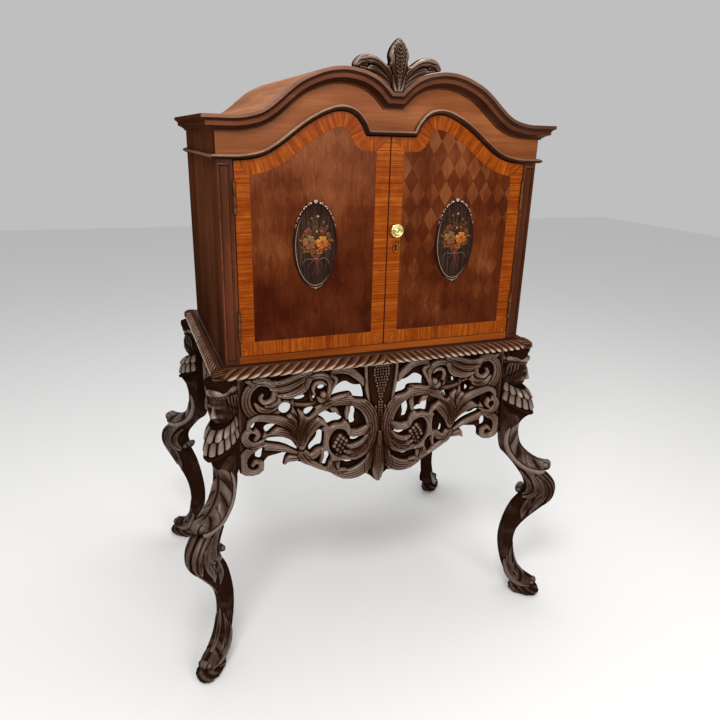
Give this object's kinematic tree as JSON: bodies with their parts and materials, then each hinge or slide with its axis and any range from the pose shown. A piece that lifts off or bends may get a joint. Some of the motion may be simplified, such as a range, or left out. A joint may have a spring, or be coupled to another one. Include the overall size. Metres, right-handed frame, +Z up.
{
  "type": "cabinet on stand",
  "caption": "Antique two-door cabinet with a double-arched top and inlaid oval panels, on a carved and pierced stand with scrolled mask legs.",
  "frame": {"origin": "on the floor, under the middle of the whole object", "axes": "+Z up, -Y out of the doors towards the viewer, +X to the viewer's right"},
  "size_m": [1.184, 0.834, 1.698],
  "materials": {
    "mahogany": "french polished, reddish brown",
    "veneer": "polished veneer with lighter crossbanding",
    "carved_walnut": "dark waxed carving",
    "marquetry": "dark ground with inlaid flowers",
    "carcass_wood": "plain stained boards",
    "brass": "aged, rubbed",
    "steel": "dark, oiled"
  },
  "bodies": {
    "case": {"apron_front": "carved_walnut", "apron_left": "carved_walnut", "apron_right": "carved_walnut", "back_panel": "carcass_wood", "back_rail": "carcass_wood", "back_screws": "steel", "base_rail": "mahogany", "case_bottom": "carcass_wood", "case_side_left": "mahogany", "case_side_right": "mahogany", "corner_blocks": "carcass_wood", "cornice_front": "mahogany", "cornice_left": "mahogany", "cornice_right": "mahogany", "crest": "carved_walnut", "door_stops": "carcass_wood", "frieze": "mahogany", "hinge_leaves_case_left": "brass", "hinge_leaves_case_right": "brass", "hinge_pins_left": "brass", "hinge_pins_right": "brass", "hinge_screws_case": "brass", "leg_back_left": "carved_walnut", "leg_back_right": "carved_walnut", "leg_front_left": "carved_walnut", "leg_front_right": "carved_walnut", "pilaster_left": "mahogany", "pilaster_right": "mahogany", "roof_shell": "mahogany", "rope_moulding_back": "carved_walnut", "rope_moulding_front": "carved_walnut", "rope_moulding_left": "carved_walnut", "rope_moulding_right": "carved_walnut", "shelf_cleats": "carcass_wood", "shelf_lower": "carcass_wood", "shelf_upper": "carcass_wood", "slip_bolt_keeper": "steel", "stand_top": "mahogany", "waist_moulding_front": "mahogany", "waist_moulding_left": "mahogany", "waist_moulding_right": "mahogany"},
    "left_door": {"door_left": "veneer", "medallion_left": "marquetry", "medallion_frame_left": "carved_walnut", "hinge_leaves_door_left": "brass", "hinge_screws_door_left": "brass", "lock_keeper": "steel", "bolt_guides": "steel"},
    "right_door": {"door_right": "veneer", "medallion_right": "marquetry", "medallion_frame_right": "carved_walnut", "hinge_leaves_door_right": "brass", "hinge_screws_door_right": "brass", "knob": "brass", "escutcheon": "brass", "lock_case": "steel"},
    "lock_bolt_body": {"lock_bolt": "steel"},
    "upper_bolt_body": {"slip_bolt_upper": "steel"},
    "lower_bolt_body": {"slip_bolt_lower": "steel"}
  },
  "joints": [
    {"name": "door_left_swing", "type": "hinge", "parent": "case", "child": "left_door", "pos_m": [-0.401, -0.2894, 1.172], "axis": [0, 0, -1], "range_deg": [0, 160]},
    {"name": "door_right_swing", "type": "hinge", "parent": "case", "child": "right_door", "pos_m": [0.401, -0.2894, 1.172], "axis": [0, 0, 1], "range_deg": [0, 160]},
    {"name": "lock_bolt_slide", "type": "slide", "parent": "right_door", "child": "lock_bolt_body", "axis": [-1, 0, 0], "range_m": [0, 0.009]},
    {"name": "upper_bolt_slide", "type": "slide", "parent": "left_door", "child": "upper_bolt_body", "axis": [0, 0, 1], "range_m": [0, 0.012]},
    {"name": "lower_bolt_slide", "type": "slide", "parent": "left_door", "child": "lower_bolt_body", "axis": [0, 0, -1], "range_m": [0, 0.012]}
  ]
}
